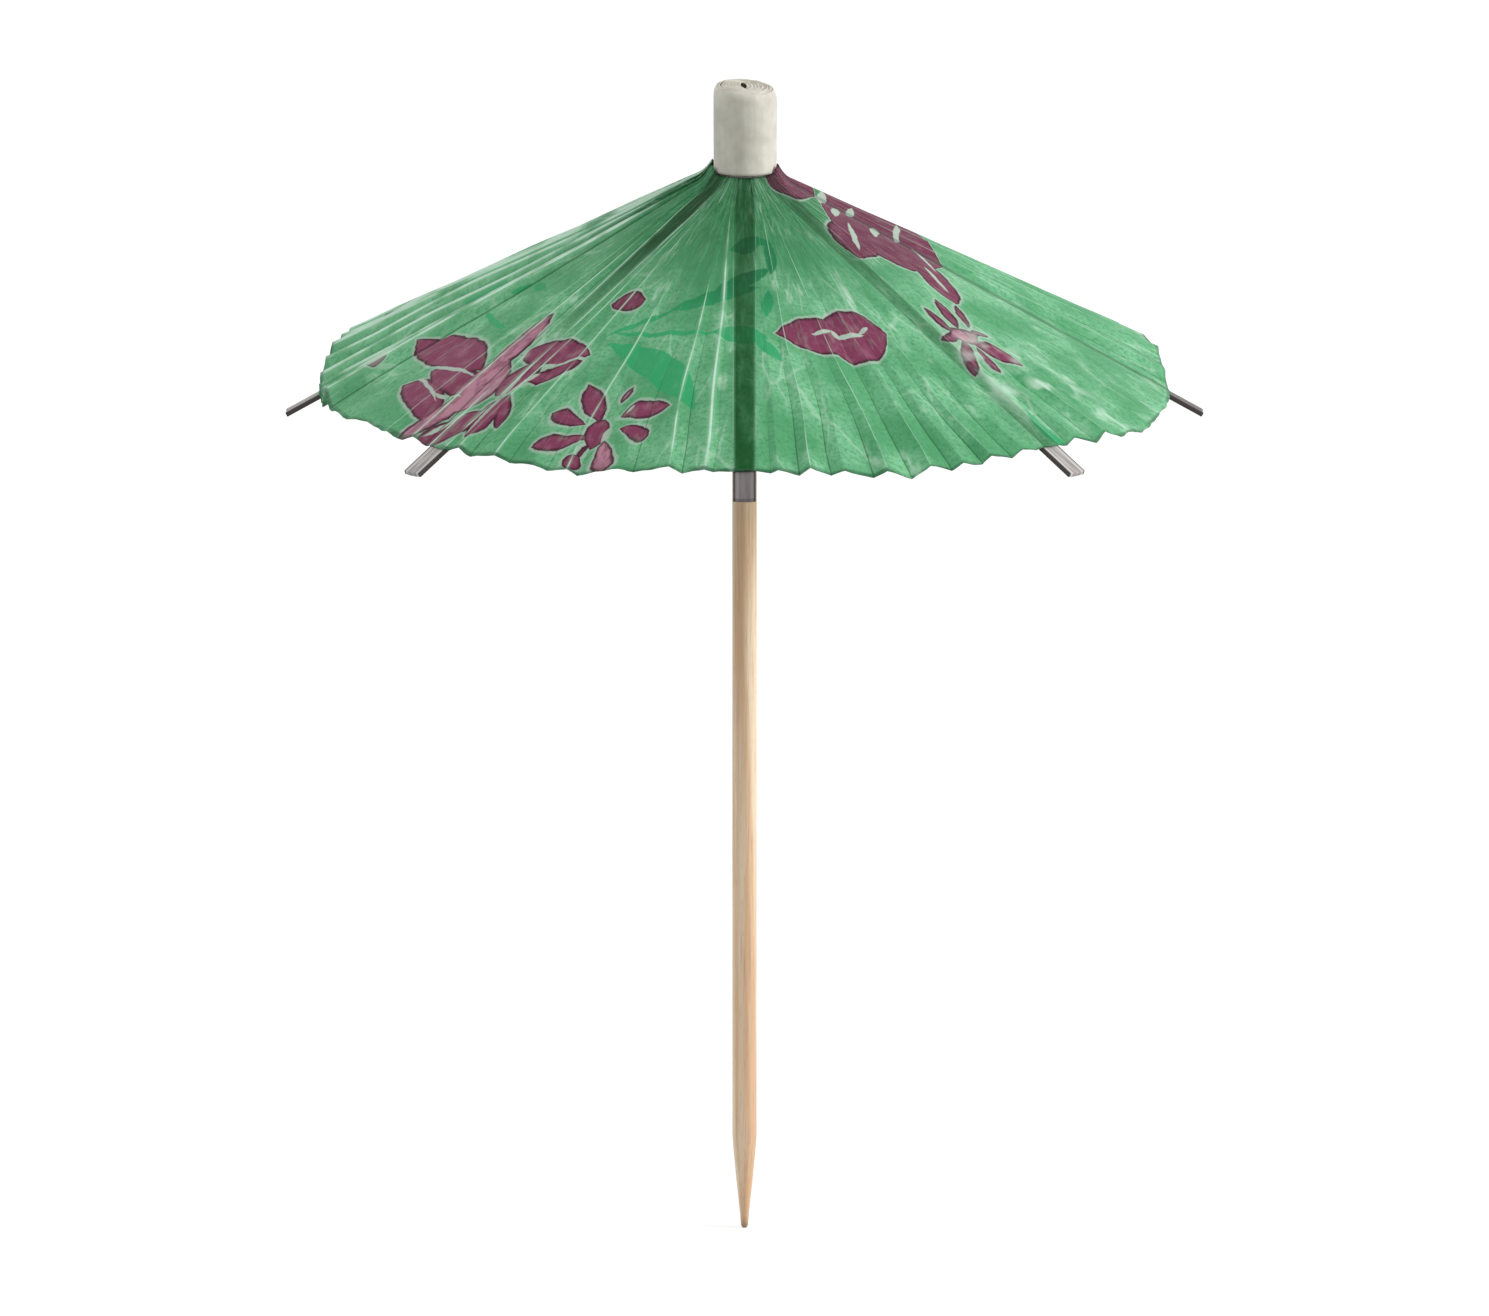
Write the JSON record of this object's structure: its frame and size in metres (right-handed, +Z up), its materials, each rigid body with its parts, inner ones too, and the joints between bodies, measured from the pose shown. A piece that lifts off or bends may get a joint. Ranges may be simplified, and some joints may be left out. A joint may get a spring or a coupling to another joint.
{
  "type": "cocktail umbrella pick",
  "caption": "Paper cocktail umbrella on a pointed wooden pick: a pleated, printed canopy on card ribs that fold as a notched runner slides down the stick.",
  "frame": {"origin": "point of the stick, on its axis", "axes": "+Z up the stick from its point to its cap, -Y along the first rib, towards the camera"},
  "size_m": [0.0782, 0.0782, 0.1],
  "materials": {
    "wood": "plain pale wood with fine lengthwise grain",
    "cap_paper": "matt rolled white paper",
    "filler_paper": "matt rolled plain paper",
    "card": "matt greyish white card",
    "canopy_paper": "thin green tissue paper with a floral print, lets some light through",
    "ring_plastic": "plain moulded plastic"
  },
  "bodies": {
    "stick": {"stick": "wood", "cap_tube": "cap_paper", "hub_band": "card", "spacer_roll": "filler_paper"},
    "runner": {"runner": "card"},
    "retaining_ring": {"retaining_ring": "ring_plastic"},
    "rib_1": {"rib_1": "card", "canopy_panel_1": "canopy_paper"},
    "strut_1": {"strut_1": "card"},
    "rib_2": {"rib_2": "card", "canopy_panel_2": "canopy_paper"},
    "strut_2": {"strut_2": "card"},
    "rib_3": {"rib_3": "card", "canopy_panel_3": "canopy_paper"},
    "strut_3": {"strut_3": "card"},
    "rib_4": {"rib_4": "card", "canopy_panel_4": "canopy_paper"},
    "strut_4": {"strut_4": "card"},
    "rib_5": {"rib_5": "card", "canopy_panel_5": "canopy_paper"},
    "strut_5": {"strut_5": "card"},
    "rib_6": {"rib_6": "card", "canopy_panel_6": "canopy_paper"},
    "strut_6": {"strut_6": "card"},
    "rib_7": {"rib_7": "card", "canopy_panel_7": "canopy_paper"},
    "strut_7": {"strut_7": "card"},
    "rib_8": {"rib_8": "card", "canopy_panel_8": "canopy_paper"},
    "strut_8": {"strut_8": "card"}
  },
  "joints": [
    {"name": "runner_slide", "type": "slide", "parent": "stick", "child": "runner", "axis": [0, 0, -1], "range_m": [0, 0.00997]},
    {"name": "ring_slide", "type": "slide", "parent": "runner", "child": "retaining_ring", "axis": [0, 0, -1], "range_m": [0, 0.02]},
    {"name": "rib_1_fold", "type": "hinge", "parent": "stick", "child": "rib_1", "pos_m": [0, -0.00205, 0.092], "axis": [1, 0, 0], "range_deg": [0, 55.1], "deforming": ["canopy_panel_1"]},
    {"name": "strut_1_fold", "type": "hinge", "parent": "rib_1", "child": "strut_1", "pos_m": [0, -0.01146, 0.0863], "axis": [1, 0, 0], "range_deg": [-108.53, 0]},
    {"name": "rib_2_fold", "type": "hinge", "parent": "stick", "child": "rib_2", "pos_m": [0.00145, -0.00145, 0.092], "axis": [0.7071, 0.7071, 0], "range_deg": [0, 55.1], "deforming": ["canopy_panel_2"]},
    {"name": "strut_2_fold", "type": "hinge", "parent": "rib_2", "child": "strut_2", "pos_m": [0.00811, -0.00811, 0.0863], "axis": [0.7071, 0.7071, 0], "range_deg": [-108.53, 0]},
    {"name": "rib_3_fold", "type": "hinge", "parent": "stick", "child": "rib_3", "pos_m": [0.00205, 0, 0.092], "axis": [0, 1, 0], "range_deg": [0, 55.1], "deforming": ["canopy_panel_3"]},
    {"name": "strut_3_fold", "type": "hinge", "parent": "rib_3", "child": "strut_3", "pos_m": [0.01146, 0, 0.0863], "axis": [0, 1, 0], "range_deg": [-108.53, 0]},
    {"name": "rib_4_fold", "type": "hinge", "parent": "stick", "child": "rib_4", "pos_m": [0.00145, 0.00145, 0.092], "axis": [-0.7071, 0.7071, 0], "range_deg": [0, 55.1], "deforming": ["canopy_panel_4"]},
    {"name": "strut_4_fold", "type": "hinge", "parent": "rib_4", "child": "strut_4", "pos_m": [0.00811, 0.00811, 0.0863], "axis": [-0.7071, 0.7071, 0], "range_deg": [-108.53, 0]},
    {"name": "rib_5_fold", "type": "hinge", "parent": "stick", "child": "rib_5", "pos_m": [0, 0.00205, 0.092], "axis": [-1, 0, 0], "range_deg": [0, 55.1], "deforming": ["canopy_panel_5"]},
    {"name": "strut_5_fold", "type": "hinge", "parent": "rib_5", "child": "strut_5", "pos_m": [0, 0.01146, 0.0863], "axis": [-1, 0, 0], "range_deg": [-108.53, 0]},
    {"name": "rib_6_fold", "type": "hinge", "parent": "stick", "child": "rib_6", "pos_m": [-0.00145, 0.00145, 0.092], "axis": [-0.7071, -0.7071, 0], "range_deg": [0, 55.1], "deforming": ["canopy_panel_6"]},
    {"name": "strut_6_fold", "type": "hinge", "parent": "rib_6", "child": "strut_6", "pos_m": [-0.00811, 0.00811, 0.0863], "axis": [-0.7071, -0.7071, 0], "range_deg": [-108.53, 0]},
    {"name": "rib_7_fold", "type": "hinge", "parent": "stick", "child": "rib_7", "pos_m": [-0.00205, 0, 0.092], "axis": [0, -1, 0], "range_deg": [0, 55.1], "deforming": ["canopy_panel_7"]},
    {"name": "strut_7_fold", "type": "hinge", "parent": "rib_7", "child": "strut_7", "pos_m": [-0.01146, 0, 0.0863], "axis": [0, -1, 0], "range_deg": [-108.53, 0]},
    {"name": "rib_8_fold", "type": "hinge", "parent": "stick", "child": "rib_8", "pos_m": [-0.00145, -0.00145, 0.092], "axis": [0.7071, -0.7071, 0], "range_deg": [0, 55.1], "deforming": ["canopy_panel_8"]},
    {"name": "strut_8_fold", "type": "hinge", "parent": "rib_8", "child": "strut_8", "pos_m": [-0.00811, -0.00811, 0.0863], "axis": [0.7071, -0.7071, 0], "range_deg": [-108.53, 0]}
  ],
  "couplings": [
    {"joint": "rib_1_fold", "follows": "runner_slide", "rad_per_m": 96.27},
    {"joint": "strut_1_fold", "follows": "runner_slide", "rad_per_m": -189.62},
    {"joint": "rib_2_fold", "follows": "runner_slide", "rad_per_m": 96.27},
    {"joint": "strut_2_fold", "follows": "runner_slide", "rad_per_m": -189.62},
    {"joint": "rib_3_fold", "follows": "runner_slide", "rad_per_m": 96.27},
    {"joint": "strut_3_fold", "follows": "runner_slide", "rad_per_m": -189.62},
    {"joint": "rib_4_fold", "follows": "runner_slide", "rad_per_m": 96.27},
    {"joint": "strut_4_fold", "follows": "runner_slide", "rad_per_m": -189.62},
    {"joint": "rib_5_fold", "follows": "runner_slide", "rad_per_m": 96.27},
    {"joint": "strut_5_fold", "follows": "runner_slide", "rad_per_m": -189.62},
    {"joint": "rib_6_fold", "follows": "runner_slide", "rad_per_m": 96.27},
    {"joint": "strut_6_fold", "follows": "runner_slide", "rad_per_m": -189.62},
    {"joint": "rib_7_fold", "follows": "runner_slide", "rad_per_m": 96.27},
    {"joint": "strut_7_fold", "follows": "runner_slide", "rad_per_m": -189.62},
    {"joint": "rib_8_fold", "follows": "runner_slide", "rad_per_m": 96.27},
    {"joint": "strut_8_fold", "follows": "runner_slide", "rad_per_m": -189.62}
  ]
}
